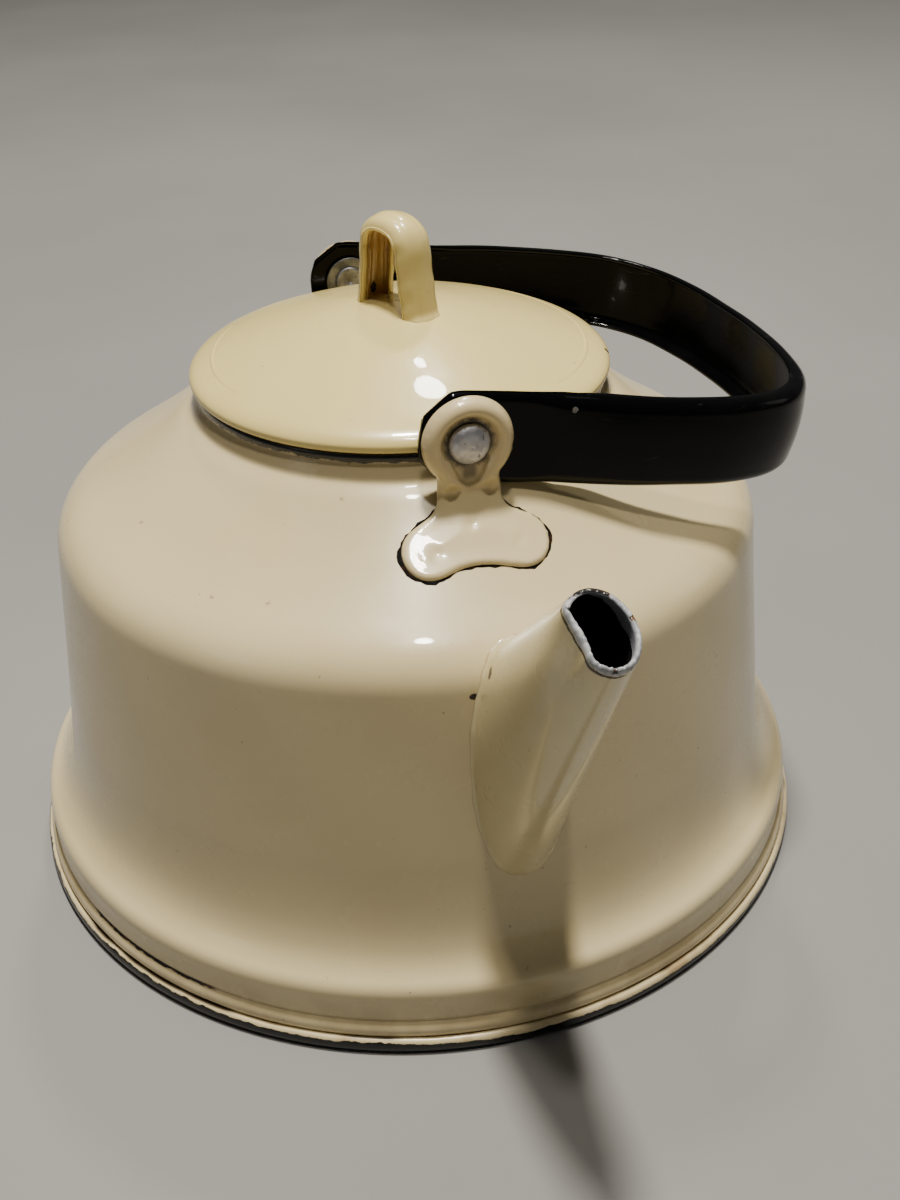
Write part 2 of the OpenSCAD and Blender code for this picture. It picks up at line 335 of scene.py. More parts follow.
def spout_wall(u, v, inset):
    """Point on the spout: u runs from the root (0) to the mouth (1), v round it; v = 0 is underneath."""
    root_a, root_b = ROOT_HALF[0] - inset, ROOT_HALF[1] - inset
    mouth_a, mouth_b = MOUTH_HALF[0] - inset, MOUTH_HALF[1] - inset
    cos_v, sin_v = np.cos(v), np.sin(v)
    square = 0.5 + 0.5 * cos_v
    root = np.stack([np.full_like(v, ROOT_X), root_b * sin_v * (1 + 0.16 * square * cos_v ** 2),
                     ROOT_Z - root_a * cos_v], -1)
    along = np.array([math.cos(MOUTH_TILT), 0, -math.sin(MOUTH_TILT)])
    across = np.array([0, 1.0, 0])
    mouth_line = MOUTH + mouth_a * cos_v[..., None] * along
    side = mouth_b * sin_v
    plain = mouth_line + side[..., None] * across
    # One side of the mouth has been pushed in, which gives it a kidney shape
    dent = 1.9 * hump(cos_v, 0.05, 0.55) + 0.3 * hump(cos_v, 0.35, 0.20) - 0.6 * hump(cos_v, -0.7, 0.25)
    side = side + step(0.10, 0.9, -sin_v) * dent
    mouth = mouth_line + side[..., None] * across
    w = u[..., None]
    late = step(0.55, 1.0, w) ** 2.2
    return (1 - w) * root + w * (plain * (1 - late) + mouth * late)


def spout_join(v):
    """How far along the spout each of its lines comes out of the body's wall, by halving."""
    low, high = np.full(len(v), -0.5), np.full(len(v), 0.9)
    for _ in range(40):
        mid = (low + high) / 2
        p = spout_wall(mid, v, 0.0)
        out = np.hypot(p[:, 0], p[:, 1]) > body_r(p[:, 2], np.arctan2(p[:, 1], p[:, 0]))
        high, low = np.where(out, mid, high), np.where(out, low, mid)
    return high


def weld_rows(v, start):
    """Rows of the weld fillet from the body's wall to the spout, and how far along the spout it ends."""
    corner = spout_wall(start, v, 0.0)
    along = spout_wall(start + SPOUT_STEP, v, 0.0) - corner
    length = np.linalg.norm(along, axis=1) / SPOUT_STEP
    out = unit(np.cross(np.roll(corner, -1, 0) - np.roll(corner, 1, 0), along))
    out *= np.sign((out * (corner - corner.mean(0))).sum(1))[:, None]
    wall_n = unit(corner * [1, 1, 0])
    spread = unit(out - (out * wall_n).sum(1, keepdims=True) * wall_n)
    weld = (1.25 + 0.22 * np.sin(9 * v) + 0.16 * np.sin(23 * v + 1))[:, None]
    foot = corner + spread * weld
    radius = body_r(foot[:, 2], np.arctan2(foot[:, 1], foot[:, 0])) - 0.12
    scale = radius / np.hypot(foot[:, 0], foot[:, 1])
    foot = foot * np.stack([scale, scale, np.ones(len(v))], -1)
    leave = start + weld[:, 0] * 1.2 / length
    top = spout_wall(leave, v, 0.0)
    return [(1 - t) ** 2 * foot + 2 * t * (1 - t) * corner + t * t * top for t in np.linspace(0, 1, 7)], leave


def make_spout(cream, inside, seam):
    n = 120
    outer_rows, inner_rows = 44, 24
    v = np.linspace(0, 2 * math.pi, n, endpoint=False)
    start = spout_join(v)
    rows, leave = weld_rows(v, start)
    for k in range(1, outer_rows + 1):
        rows.append(spout_wall(leave + (LIP_FROM - leave) * k / outer_rows, v, 0.0))
    # The lip turns over from the outer to the inner face, with an uneven, chipped edge.
    # Its first five rows keep the outer enamel
    first_inner = len(rows) + 5
    nib = 0.25 * np.sin(11 * v) + 0.35 * np.sin(27 * v + 2) + 0.30 * np.sin(43 * v)
    for a in np.radians(np.linspace(0, 180, 9)[1:-1]):
        inset = SPOUT_SHEET / 2 * (1 - math.cos(a))
        rows.append(spout_wall(LIP_FROM + (0.011 + 0.004 * nib) * math.sin(a), v, inset))
    for k in range(inner_rows + 1):
        u = LIP_FROM + (start + SPOUT_STEP - LIP_FROM) * k / inner_rows
        rows.append(spout_wall(u, v, SPOUT_SHEET))
    faces = grid_faces(len(rows), n)
    row = np.arange(len(faces)) // n
    # The first two rows of the weld are stained
    zone = np.where(row >= first_inner, 1, np.where(row < 2, 2, 0))
    materials = [cream, inside, seam]
    piece("kettle_spout", np.concatenate(rows), faces, "kettle", materials, "spout", zone)


# ---------------- ears
def ear_outline():
    """Outline of the flattened ear, as (across, down) from the pivot."""
    top = arc((0, 0), 11.2, -90, 46, 40)
    half = np.concatenate([
        top,
        bezier(top[-1], (7.4, 9.2), (7.9, 11.0), (7.9, 13.4), 7),
        bezier((7.9, 13.4), (7.9, 16.2), (8.6, 17.8), (10.6, 19.4), 7),
        bezier((10.6, 19.4), (13.4, 21.4), (17.4, 22.8), (18.0, 28.0), 11),
        bezier((18.0, 28.0), (18.3, 32.0), (15.6, 34.9), (12.0, 34.9), 10),
        bezier((12.0, 34.9), (8.4, 34.9), (6.0, 32.3), (0.0, 32.2), 11)])
    whole = np.concatenate([half, (half * [-1, 1])[-2:0:-1]])
    # The foot was pressed on a little askew
    return whole + np.stack([-1.3 * step(12, 24, whole[:, 1]), 0.35 * np.sin(whole[:, 0] * 0.25)
                             * step(14, 26, whole[:, 1])], -1)


def edge_gap(points, edges):
    """Distance of each point from the nearest edge of an outline."""
    best = np.full(len(points), np.inf)
    for x0, y0, x1, y1 in edges:
        d = np.array([x1 - x0, y1 - y0])
        t = np.clip(((points - [x0, y0]) @ d) / (d @ d), 0, 1)
        best = np.minimum(best, np.hypot(*(points - [x0, y0] - t[:, None] * d).T))
    return best


def contains(points, edges):
    """Whether each point is inside an outline."""
    hits = np.zeros(len(points), bool)
    for x0, y0, x1, y1 in edges:
        cross = (y0 > points[:, 1]) != (y1 > points[:, 1])
        at = x0 + (points[:, 1] - y0) / (y1 - y0 if y1 != y0 else 1e-9) * (x1 - x0)
        hits ^= cross & (points[:, 0] < at)
    return hits


def ear_mesh(outline, edges, loops):
    """Points and triangles that fill the ear's outline."""
    grid = []
    for i, p in enumerate(np.arange(-21.4, 19.6, EAR_GRID)):
        for q in np.arange(-11.6, 36.2, EAR_GRID):
            grid.append((p, q + i % 2 * EAR_GRID / 2))
    grid = np.array(grid)
    grid = grid[contains(grid, edges) & (edge_gap(grid, edges) > EAR_GRID * 0.45)]
    flat = [Vector(p) for p in np.concatenate([outline, grid])]
    verts, _, tris, _, _, _ = geometry.delaunay_2d_cdt(flat, loops, [], 1, 1e-5)
    return np.array([tuple(v) for v in verts]), tris


def ear_relief(p, q, near):
    """Height of the pressed face, with a raised ring round the rivet, a dented neck and a dished foot."""
    rho = np.hypot(p, q)
    down = np.clip(q / np.maximum(rho, 1e-6), 0, 1)
    pocket = 6.5 + 4.2 * down ** 11
    edge_r = 1.1
    edge_z = np.sqrt(np.maximum(edge_r ** 2 - (edge_r - np.minimum(near, edge_r)) ** 2, 0))
    height = EAR_SHEET - (edge_r - edge_z) * 0.9
    ring = np.sqrt(np.clip(step(-0.2, 1.9, rho - pocket), 0, 1))
    fall = 1 - (1 - np.clip(near / 2.6, 0, 1)) ** 2
    height += 2.1 * ring * fall * (1 - step(8.4, 13.0, q))
    height += 0.75 * hump(p, 0, 3.0) * hump(q, 16.0, 3.2)
    height -= 0.55 * hump(np.abs(p), 4.6, 1.5) * hump(q, 13.4, 1.9)
    height += 0.30 * step(3.0, 9.0, near) * step(18, 24, q)
    for spot_p, spot_q, size in ((-11.6, 28.2, 1.8), (9.4, 28.0, 1.7), (-1.6, 22.4, 1.3)):
        height -= 0.30 * hump(p, spot_p, size) * hump(q, spot_q, size)
    return height


def ear_sheet(sign):
    """The ear's inner face, as a function of (across, down), and how far down it bends onto the shoulder."""
    dome = OUTLINE[(OUTLINE[:, 1] > 100) & (OUTLINE[:, 0] > 56.3)][::-1]
    run = np.concatenate([[0], np.cumsum(np.hypot(*np.diff(dome, axis=0).T))])
    corner_run = np.interp(EAR_X, dome[:, 0], run)
    corner_z = np.interp(EAR_X, dome[:, 0], dome[:, 1])
    corner_q = PIVOT_Z - corner_z
    bend = 5.5
    head = np.array([EAR_X, corner_z + bend])
    corner = np.array([EAR_X, corner_z])
    end = np.array([np.interp(corner_run + bend, run, side) for side in dome.T])

    def centre_line(q):
        on_dome = corner_run + (q - corner_q)
        t = np.clip((q - corner_q + bend) / (2 * bend), 0, 1)[:, None]
        mid = (1 - t) ** 2 * head + 2 * t * (1 - t) * corner + t ** 2 * end
        upright, flat = q < corner_q - bend, q > corner_q + bend
        r = np.where(upright, EAR_X, np.where(flat, np.interp(on_dome, run, dome[:, 0]), mid[:, 0]))
        z = np.where(upright, PIVOT_Z - q, np.where(flat, np.interp(on_dome, run, dome[:, 1]), mid[:, 1]))
        return r, z

    def surface(p, q):
        r, z = centre_line(q)
        wrap = step(corner_q - bend, corner_q + bend, q)
        phi = p / r
        x = r - wrap * r * (1 - np.cos(phi))
        y = p * (1 - wrap) + wrap * r * np.sin(phi)
        grow = wrap * waver(z, np.arctan2(sign * y, sign * x))
        return np.stack([x + grow * np.cos(phi), y + grow * np.sin(phi), z], -1)
    return surface, corner_q


def lifted(surface, p, q, height):
    """Points at a height over a surface that faces +X."""
    nudge = 0.05
    base = surface(p, q)
    normal = unit(np.cross(surface(p + nudge, q) - base, surface(p, q + nudge) - base))
    normal *= np.sign(normal[:, 0])[:, None]
    return base + normal * height


def chip_width(outline):
    """Width of the chipped line round the ear's foot, with a larger chip on each side."""
    around = np.arange(len(outline))
    p, q = outline.T
    bite = 0.42 + 0.22 * np.sin(around * 0.61) + 0.16 * np.sin(around * 1.37 + 1)
    bite += 0.12 * np.sin(around * 2.9)
    bite += 0.75 * hump(p, -17.5, 4.5) * hump(q, 31.5, 5.5)
    bite += 0.45 * hump(p, 16.4, 1.8) * hump(q, 30.0, 3.5)
    return np.clip(bite, 0.0, 2.0)


def make_ear(name, node, sign, material, seam):
    outline = ear_outline()
    count = len(outline)
    edges = np.concatenate([outline, np.roll(outline, -1, 0)], 1)
    loops = [(i, (i + 1) % count) for i in range(count)]
    flat, tris = ear_mesh(outline, edges, loops)
    surface, corner_q = ear_sheet(sign)
    p, q = flat.T
    height = ear_relief(p, q, edge_gap(flat, edges))
    rows = [lifted(surface, p, q, height[:, None]), lifted(surface, p, q, 0.02)]
    n = len(flat)
    faces = [list(t) for t in tris] + [[i + n for i in t][::-1] for t in tris]
    faces += [[a, b, b + n, a + n] for a, b in loops]
    zone = [0] * len(faces)
    # A ragged black line where the enamel has chipped away around the foot
    ahead = np.roll(outline, -1, 0) - np.roll(outline, 1, 0)
    outward = unit(np.stack([ahead[:, 1], -ahead[:, 0]], -1))
    outward *= np.sign((outward * (outline - [0, 10])).sum(1).mean())
    bite = chip_width(outline) * step(corner_q - 1, corner_q + 3, outline[:, 1])
    for out, lift in ((np.full(count, -0.5), 0.16), (np.zeros(count), 0.22), (bite, 0.07)):
        ring = outline + outward * out[:, None]
        rows.append(lifted(surface, ring[:, 0], ring[:, 1], lift))
    for lane in (2 * n, 2 * n + count):
        for a, b in loops:
            if min(outline[a, 1], outline[b, 1]) > corner_q + 1.5:
                faces.append([lane + a, lane + b, lane + b + count, lane + a + count])
                zone.append(1)
    points = np.concatenate(rows) * [sign, sign, 1]
    used = sorted({i for face in faces for i in face})
    renumber = {old: new for new, old in enumerate(used)}
    faces = [[renumber[i] for i in face] for face in faces]
    piece(name, points[used], faces, "kettle", [material, seam], node, zone, weld=False)


# ---------------- rivets and washers
def make_rivet(name, node, sign, material):
    head = EAR_X + EAR_SHEET + 0.05 - WASHER_X
    shank_r, head_r, tail_r = 2.5, 5.03, 4.2
    profile = np.concatenate([
        [[AXIS_R, -0.9], [tail_r - 0.8, -0.9]], arc((tail_r - 0.4, -0.5), 0.4, -90, 0, 4),
        [[tail_r, -0.06], [shank_r, -0.06], [shank_r, head], [head_r - 0.43, head]],
        arc((head_r - 0.43, head + 0.45), 0.45, -80, 10, 5),
        bezier((head_r, head + 0.55), (4.5, head + 2.2), (2.2, head + 2.9), (AXIS_R, head + 2.95), 14)])

    def move(r, z, a):
        """A dinted, slightly rippled head."""
        dome = step(head + 0.6, head + 1.4, z)
        x, y = r * np.cos(a), r * np.sin(a)
        dint = 0.30 * np.exp(-((x - 1.9) ** 2 + (y + 0.4) ** 2) / 0.35)
        ripple = 0.05 * np.sin(1.9 * x + 1) * np.sin(2.3 * y)
        return r * (1 + 0.012 * np.sin(3 * a + sign)), z + dome * (ripple - dint)
    points, faces = lathe(profile, 72, move)
    piece(name, turned(points, WASHER_X, PIVOT_Z, sign), faces, "kettle", [material], node)


def make_washer(name, node, sign, material):
    inner, outer = 2.7, 6.75
    profile = np.concatenate([arc((inner, 0.2), 0.15, 180, 270, 3), arc((outer, 0.25), 0.25, -90, 0, 4),
                              arc((outer, 0.75), 0.25, 0, 90, 4), arc((inner, 0.8), 0.15, 90, 180, 3)])
    points, faces = lathe(profile, 72, lambda r, z, a: (r * (1 + 0.01 * np.sin(2 * a)), z))
    piece(name, turned(points, WASHER_X, PIVOT_Z, sign), faces, "kettle", [material], node)


# ---------------- lid
def lid_outline():
    edge = (LID_R - 0.15, LID_SEAT + 2.3)
    slope = (LID_R - 3.9, LID_SEAT + 4.9)
    return np.concatenate([
        bezier((LID_R, LID_SEAT + LID_HEM_R), (LID_R + 0.05, LID_SEAT + 1.7),
               (LID_R + 0.02, LID_SEAT + 2.0), edge, 4),
        bezier(edge, (LID_R - 0.9, LID_SEAT + 3.4), (LID_R - 2.2, LID_SEAT + 4.2), slope, 10),
        bezier(slope, (LID_R - 12, LID_SEAT + 8.2), (20, LID_TOP - 2.6), (AXIS_R, LID_TOP), 40)])


def make_lid(material):
    outer = lid_outline()
    hem = arc((LID_R - LID_HEM_R, LID_SEAT + LID_HEM_R), LID_HEM_R, 0, -180, 16)
    under = outer + LID_SHEET * normals_2d(outer)
    under = under[under[:, 0] < LID_R - 2 * LID_HEM_R]
    under[-1] = (AXIS_R, LID_TOP - LID_SHEET)
    profile = np.concatenate([hem[::-1], outer, under[::-1]])

    def move(r, z, a):
        """Slight unevenness of the lid, fading out at its edge and its middle."""
        sway = step(20, 45, r) * (0.18 * np.sin(2 * a + 2) + 0.10 * np.sin(5 * a))
        return r * (1 + 0.0009 * np.sin(3 * a)), z + sway * step(LID_SEAT + 2.5, LID_SEAT + 5, z)
    points, faces = lathe(profile, 288, move)
    piece("lid_cover", points, faces, "lid", [material], "lid_shell")


def make_skirt(material):
    top, low = LID_SEAT + 5.4, LID_SEAT - 10.0
    inner_r = RING_R - 1.0
    profile = np.concatenate([
        arc((RING_R - 0.5, low + 0.5), 0.5, -180, 0, 8), [[RING_R, low + 4], [RING_R, top - 0.4]],
        [[RING_R - 0.4, top + 0.3], [inner_r, top + 0.5], [inner_r, low + 4]]])
    points, faces = lathe(profile, 200)
    piece("lid_inner_ring", points, faces, "lid", [material], "lid_skirt")


def make_knob(material, inside):
    low, high = LID_TOP - 6, KNOB_TOP
    side = np.concatenate([
        [[13.2, low]],
        bezier((13.2, low), (12.1, low + 8), (10.9, high - 16), (10.4, high - 9), 26),
        bezier((10.4, high - 9), (9.8, high - 2.5), (5.5, high), (0, high), 24)])
    line = np.concatenate([side, (side * [-1, 1])[-2::-1]])
    lid = lid_outline()[::-1]
    rows = []
    for p, m in zip(line, normals_2d(line)):
        # The strap flares a little where it meets the lid
        above = p[1] - np.interp(abs(p[0]), lid[:, 0], lid[:, 1]) + 0.3
        flare = 0.9 * (1 - min(max(above, 0) / 1.8, 1)) ** 2
        section = channel_section(KNOB_HALF + 0.5 * flare, 3.5, 0.45, 2.1) + [0, 0.45]
        across = section[:, 0] * (1 - 0.02 * math.sin(p[1]))
        pos = p[None, :] + (section[:, 1] - flare * (section[:, 1] < 1.2))[:, None] * m[None, :]
        rows.append(np.stack([pos[:, 0], across, pos[:, 1]], -1))
    n = len(rows[0])
    faces = grid_faces(len(rows), n)
    zone = [1 if INNER_FROM - 1 <= i % n <= n - 4 else 0 for i in range(len(faces))]
    points = rotated(np.concatenate(rows), KNOB_TURN, 0, 1)
    faces += end_faces(len(rows), n)
    materials = [material, inside]
    piece("lid_finger_loop", points, faces, "lid", materials, "lid_knob", zone + [0, 0])


# ---------------- handle
def make_handle(material, inside):
    half_line = np.concatenate([
        np.stack([np.full(34, WEB_OUT), np.linspace(-STRAP_HALF + 0.03, 9, 34)], -1),
        bezier((WEB_OUT, 9), (WEB_OUT, 22), (HANDLE_HALF, 34), (HANDLE_HALF, 54), 34),
        bezier((HANDLE_HALF, 54), (HANDLE_HALF, 88), (52, HANDLE_REACH), (0, HANDLE_REACH), 60)])
    line = np.concatenate([half_line, (half_line * [-1, 1])[-2::-1]])
    run = np.concatenate([[0], np.cumsum(np.hypot(*np.diff(line, axis=0).T))])
    rows = []
    for p, m, along in zip(line, normals_2d(line), run):
        end = min(along, run[-1] - along)
        e = min(max(end, 0.02) / STRAP_HALF, 1)
        half = STRAP_HALF * min((1 - (1 - e) ** 2.6) ** (1 / 2.6), 0.42 + 0.95 * e)
        half -= 0.35 * step(30, 75, end) * (0.8 + 0.2 * math.sin(along * 0.05))
        # The strap is flat and shallow at the pivots and a crowned, deeper channel from there on
        reach = step(12, 34, p[1])
        lip = 2.1 + 2.9 * reach - 0.5 * (1 - step(0, 5, end))
        crown = 0.70 * step(14, 40, p[1])
        section = channel_section(max(half, 0.4), lip, crown, STRAP_SHEET)
        wave = 0.12 * math.sin(along * 0.11) + 0.07 * math.sin(along * 0.29 + 1)
        section[:, 0] *= 1 + 0.004 * math.sin(along * 0.17)
        depth = section[:, 1] + (0.35 * crown + wave) * reach
        pos = p[None, :] + depth[:, None] * m[None, :]
        rows.append(np.stack([pos[:, 0], pos[:, 1], section[:, 0]], -1))
    n = len(rows[0])
    faces = grid_faces(len(rows), n)
    zone = [1 if INNER_FROM <= i % n < n - 4 else 0 for i in range(len(faces))]
    points = rotated(np.concatenate(rows), -FOLD, 1, 2) + [0, 0, PIVOT_Z]
    faces += end_faces(len(rows), n)
    materials = [material, inside]
    obj = piece("bail_handle", points, faces, "handle", materials, "handle", zone + [0, 0])
    # One bore along the pivot axis pierces both ends of the strap
    cut_hole(obj, "bore_cutter", (-HANDLE_HALF - 5, HANDLE_HALF + 5), hole_outline(BORE_R, PIVOT_Z))


# ---------------- materials
class Shader:
    """A procedural material, built a node at a time around one Principled shader."""

    def __init__(self, name, **sockets):
        self.material = bpy.data.materials.new(name)
        self.material.use_nodes = True
        self.tree = self.material.node_tree
        self.surface = self.tree.nodes["Principled BSDF"]
        for key, value in sockets.items():
            self.surface.inputs[key.replace("_", " ")].default_value = value
        self.place = self.node("ShaderNodeTexCoord").outputs["Object"]
        self.split = self.node("ShaderNodeSeparateXYZ", Vector=self.place)

    def node(self, kind, props=None, **inputs):
        n = self.tree.nodes.new(kind)
        for key, value in (props or {}).items():
            setattr(n, key, value)
        for key, value in inputs.items():
            self.set(n.inputs[key.replace("_", " ")], value)
        return n

    def set(self, socket, value):
        if isinstance(value, bpy.types.NodeSocket):
            self.tree.links.new(value, socket)
        else:
            socket.default_value = value

    def math(self, op, a, b=0.0, c=0.0):
        n = self.node("ShaderNodeMath", {"operation": op})
        for socket, value in zip(n.inputs, (a, b, c)):
            self.set(socket, value)
        return n.outputs[0]

    def noise(self, scale, detail=3.0, rough=0.55, distort=0.0, stretch=(1, 1, 1), seed=(0, 0, 0)):
        place = self.place
        if stretch != (1, 1, 1) or seed != (0, 0, 0):
            place = self.node("ShaderNodeMapping", Vector=place, Scale=stretch, Location=seed).outputs[0]
        n = self.node("ShaderNodeTexNoise", Vector=place, Scale=scale, Detail=detail, Roughness=rough,
                      Distortion=distort)
        return n.outputs["Fac"]

    def ramp(self, value, low, high, to_low=0.0, to_high=1.0):
        """Smooth step from one value at low to another at high."""
        n = self.node("ShaderNodeMapRange", {"interpolation_type": "SMOOTHSTEP"}, Value=value,
                      From_Min=low, From_Max=high, To_Min=to_low, To_Max=to_high)
        return n.outputs["Result"]

    def times(self, a, b):
        return self.math("MULTIPLY", a, b)

    def plus(self, a, b):
        return self.math("ADD", a, b)

    def minus(self, a, b):
        return self.math("SUBTRACT", a, b)

    def times_plus(self, a, b, c):
        return self.math("MULTIPLY_ADD", a, b, c)

    def ragged(self, place, noise, reach):
        """A coordinate made uneven by a noise, whose reach is in millimetres."""
        return self.times_plus(noise, reach * MM, place)

    def ramp_mm(self, value, low, high, to_low=0.0, to_high=1.0):
        """A ramp between two places in millimetres."""
        return self.ramp(value, low * MM, high * MM, to_low, to_high)

    def mix(self, amount, a, b):
        n = self.node("ShaderNodeMix", {"data_type": "RGBA"})
        self.set(n.inputs["Factor"], amount)
        colours = [s for s in n.inputs if s.type == "RGBA"]
        self.set(colours[0], a)
        self.set(colours[1], b)
        return [s for s in n.outputs if s.type == "RGBA"][0]

    def vector(self, op, a, b):
        n = self.node("ShaderNodeVectorMath", {"operation": op})
        self.set(n.inputs[0], a)
        n.inputs[1].default_value = b
        return n

    def blob(self, centre, radius, stretch=(1, 1, 1), ragged=0.5, seed=0.0):
        """1 inside a ragged spot round a point in millimetres, 0 outside it."""
        away = self.vector("SUBTRACT", self.place, tuple(c * MM for c in centre))
        scaled = self.vector("MULTIPLY", away.outputs[0], stretch)
        size = self.node("ShaderNodeVectorMath", {"operation": "LENGTH"})
        self.set(size.inputs[0], scaled.outputs[0])
        rag = self.noise(900 / radius, 2.0, seed=(seed, seed * 0.7, 0))
        wobble = self.times_plus(rag, ragged * radius * MM * 2, -ragged * radius * MM)
        edge = self.plus(size.outputs["Value"], wobble)
        return self.ramp_mm(edge, radius * 0.86, radius * 1.04, 1.0, 0.0)

    def any_of(self, masks):
        total = masks[0]
        for mask in masks[1:]:
            total = self.math("MAXIMUM", total, mask)
        return total

    def bump(self, height, distance, strength=1.0, after=None):
        n = self.node("ShaderNodeBump", Height=height, Distance=distance, Strength=strength)
        if after is not None:
            self.set(n.inputs["Normal"], after)
        return n.outputs["Normal"]

    def finish(self, colour, rough, normal):
        for key, value in (("Base Color", colour), ("Roughness", rough), ("Normal", normal)):
            self.set(self.surface.inputs[key], value)
        return self.material


CHIP = (0.012, 0.010, 0.009, 1)
RUST = (0.10, 0.040, 0.016, 1)
# Where marks sit on the body, in millimetres
KNOCKED_Y = -84
SEAM_Z = 3.35
GROOVE_Z = 8.3
PAN_PAINT_Z = 4.9
BLACK_NECK_Z = 135.9


def enamel(name, light, dark, warm, chips=(), extra=None):
    """Glossy cream enamel: faint mottling, orange peel, specks, fine scratches and chipped spots."""
    s = Shader(name, Coat_Weight=0.5, Coat_Roughness=0.035, IOR=1.42)
    broad = s.noise(9, 3.0)
    cloud = s.noise(38, 4.0, 0.6, seed=(3, 1, 2))
    fine = s.noise(700, 2.0)
    colour = s.mix(s.ramp(broad, 0.35, 0.68), light, dark)
    colour = s.mix(s.times(s.ramp(cloud, 0.50, 0.78), 0.35), colour, warm)
    speck = s.ramp(s.noise(330, 2.0, seed=(5, 5, 1)), 0.745, 0.775)
    colour = s.mix(s.times(speck, 0.55), colour, (0.30, 0.22, 0.12, 1))
    scratch = s.ramp(s.noise(60, 2.0, 0.5, 0.6, (1, 1, 14), (2, 7, 4)), 0.735, 0.76)
    colour = s.mix(s.times(scratch, 0.12), colour, (0.32, 0.25, 0.16, 1))
    rough = s.ramp(cloud, 0.3, 0.75, 0.22, 0.34)
    rough = s.plus(rough, s.times(scratch, 0.08))
    height = s.times_plus(s.noise(120, 2.0, seed=(1, 9, 3)), 0.8, s.times(fine, 0.06))
    normal = s.bump(height, 0.00016, 0.4)
    masks = [s.blob(*chip) for chip in chips]
    if extra is not None:
        colour, rough, more = extra(s, colour, rough)
        masks += more
    if masks:
        chip = s.any_of(masks)
        burnt = s.mix(s.ramp(s.noise(420, 3.0, seed=(4, 4, 4)), 0.50, 0.66), CHIP, RUST)
        colour = s.mix(chip, colour, burnt)
        rough = s.times_plus(chip, 0.45, rough)
        normal = s.bump(s.minus(1.0, chip), 0.00035, 0.9, normal)
    return s.finish(colour, rough, normal)


def knocked_side(s):
    """Raised on the stretch of the foot that has been knocked most, and a little below zero elsewhere."""
    apart = s.math("ABSOLUTE", s.plus(s.split.outputs["Y"], -KNOCKED_Y * MM))
    return s.math("MAXIMUM", s.times_plus(apart, -6.0, 0.14), -0.06)


def body_marks(s, colour, rough):
    """The black neck bead, the lid's shadow painted on the neck, chipped seam and groove lines, grime on the
    foot and a nick.
    """
    z = s.split.outputs["Z"]
    rag = s.noise(170, 4.0, 0.65, seed=(8, 2, 6))
    patch = s.plus(s.noise(14, 2.0, seed=(1, 6, 6)), knocked_side(s))
    neck = s.ramp_mm(s.ragged(z, rag, 2.2), BLACK_NECK_Z, BLACK_NECK_Z + 0.3)
    seam = s.ramp_mm(s.ragged(z, rag, -3.0), SEAM_Z, SEAM_Z + 0.3, 1.0, 0.0)
    seam = s.times(seam, s.ramp(patch, 0.47, 0.53))
    off_groove = s.math("ABSOLUTE", s.minus(s.ragged(z, rag, -1.2), GROOVE_Z * MM))
    groove = s.times(s.ramp_mm(off_groove, 0.22, 0.42, 1.0, 0.0), s.ramp(patch, 0.56, 0.60))
    darkening = s.times(s.ramp_mm(z, 7, 20, 0.5, 0.0), s.ramp(s.noise(60, 4.0, seed=(3, 3, 9)), 0.35, 0.7))
    colour = s.mix(darkening, colour, (0.36, 0.25, 0.12, 1))
    nick = s.blob((100.5, -37.5, 31.5), 0.42, (0.7, 0.12, 0.24), 0.5, 7.7)
    colour = s.mix(s.times(nick, 0.5), colour, (0.20, 0.13, 0.06, 1))
    # Painted shade: the lid's shadow on the neck, a darker band from 130 to 133.5 mm
    shade = s.times(s.ramp_mm(z, 130.0, 133.5), 0.35)
    colour = s.mix(shade, colour, (0.42, 0.34, 0.21, 1))
    colour = s.mix(neck, colour, (0.012, 0.012, 0.013, 1))
    return colour, rough, [seam, groove]


def spout_marks(s, colour, rough):
    """The worn pale rim of the mouth, with its dark edge and flaked chips."""
    away = s.vector("SUBTRACT", s.place, tuple(MOUTH * MM))
    dot = s.vector("DOT_PRODUCT", away.outputs[0], (math.sin(MOUTH_TILT), 0, math.cos(MOUTH_TILT)))
    rag = s.noise(260, 4.0, 0.6, seed=(2, 2, 7))
    depth = s.ragged(dot.outputs["Value"], rag, 2.2)
    worn = s.ramp_mm(depth, -0.20, 0.00)
    edge = s.times(s.ramp_mm(depth, -1.25, -0.95), s.ramp_mm(depth, -0.4, -0.2, 1.0, 0.0))
    edge = s.times(edge, s.ramp(s.noise(90, 2.0, seed=(6, 1, 1)), 0.38, 0.46))
    pale = s.mix(s.ramp(s.noise(500, 3.0), 0.4, 0.65), (0.27, 0.28, 0.30, 1), (0.46, 0.47, 0.47, 1))
    colour = s.mix(worn, colour, pale)
    flaked = s.times(s.ramp(s.noise(210, 3.0, seed=(3, 9, 4)), 0.57, 0.62), s.ramp_mm(depth, -0.6, -0.3))
    rough = s.times_plus(worn, 0.30, rough)
    return colour, rough, [edge, flaked]


